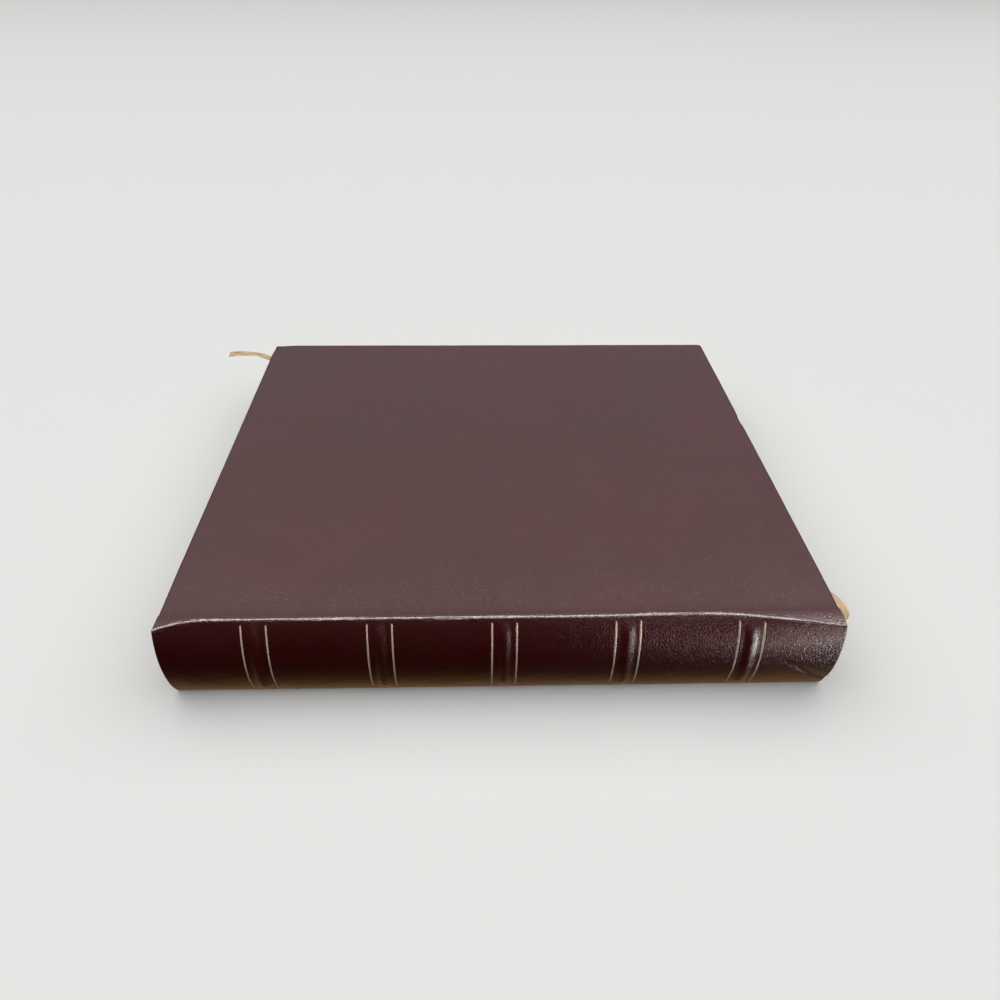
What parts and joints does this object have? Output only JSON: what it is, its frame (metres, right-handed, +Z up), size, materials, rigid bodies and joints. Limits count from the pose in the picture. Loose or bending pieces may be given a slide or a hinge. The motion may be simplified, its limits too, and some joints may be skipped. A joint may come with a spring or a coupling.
{
  "type": "leather photo album",
  "caption": "Large bound photo album in dark leather with a rounded spine, raised bands, gilt lines and a ribbon marker; both covers open on their hinges.",
  "frame": {"origin": "centre of the lower cover's underside, halfway along the spine and halfway from its shoulder to its fore-edge, on the surface that the album lies on", "axes": "+X along the spine towards the head, -Y towards the spine, +Y towards the fore-edge, +Z up through the closed album"},
  "size_m": [0.3798, 0.3388, 0.05],
  "materials": {
    "leather": "glazed, fine grain",
    "gilt": "gold leaf in tooled grooves",
    "leaves": "uncoated",
    "endpaper": "uncoated",
    "tube_paper": "kraft",
    "card": "plain",
    "board": "dense millboard",
    "mull": "open cotton weave, glued",
    "silk": "silk thread",
    "ribbon": "satin"
  },
  "bodies": {
    "block": {"page_block": "leaves", "upper_flyleaf": "endpaper", "lower_flyleaf": "endpaper", "spine_mull": "mull", "hollow_tube": "tube_paper", "spine_liner": "card", "raised_band_1": "card", "raised_band_2": "card", "raised_band_3": "card", "raised_band_4": "card", "raised_band_5": "card", "spine_leather": "leather", "gilt_lines": "gilt", "head_band": "silk", "tail_band": "silk", "ribbon_marker": "ribbon"},
    "upper_cover": {"upper_board": "board", "upper_cover_leather": "leather", "upper_pastedown": "endpaper"},
    "lower_cover": {"lower_board": "board", "lower_cover_leather": "leather", "lower_pastedown": "endpaper"}
  },
  "joints": [
    {"name": "upper_hinge", "type": "hinge", "parent": "block", "child": "upper_cover", "pos_m": [0, -0.1622, 0.05025], "axis": [1, 0, 0], "range_deg": [0, 180]},
    {"name": "lower_hinge", "type": "hinge", "parent": "block", "child": "lower_cover", "pos_m": [0, -0.1582, -0.00025], "axis": [-1, 0, 0], "range_deg": [0, 180]}
  ]
}
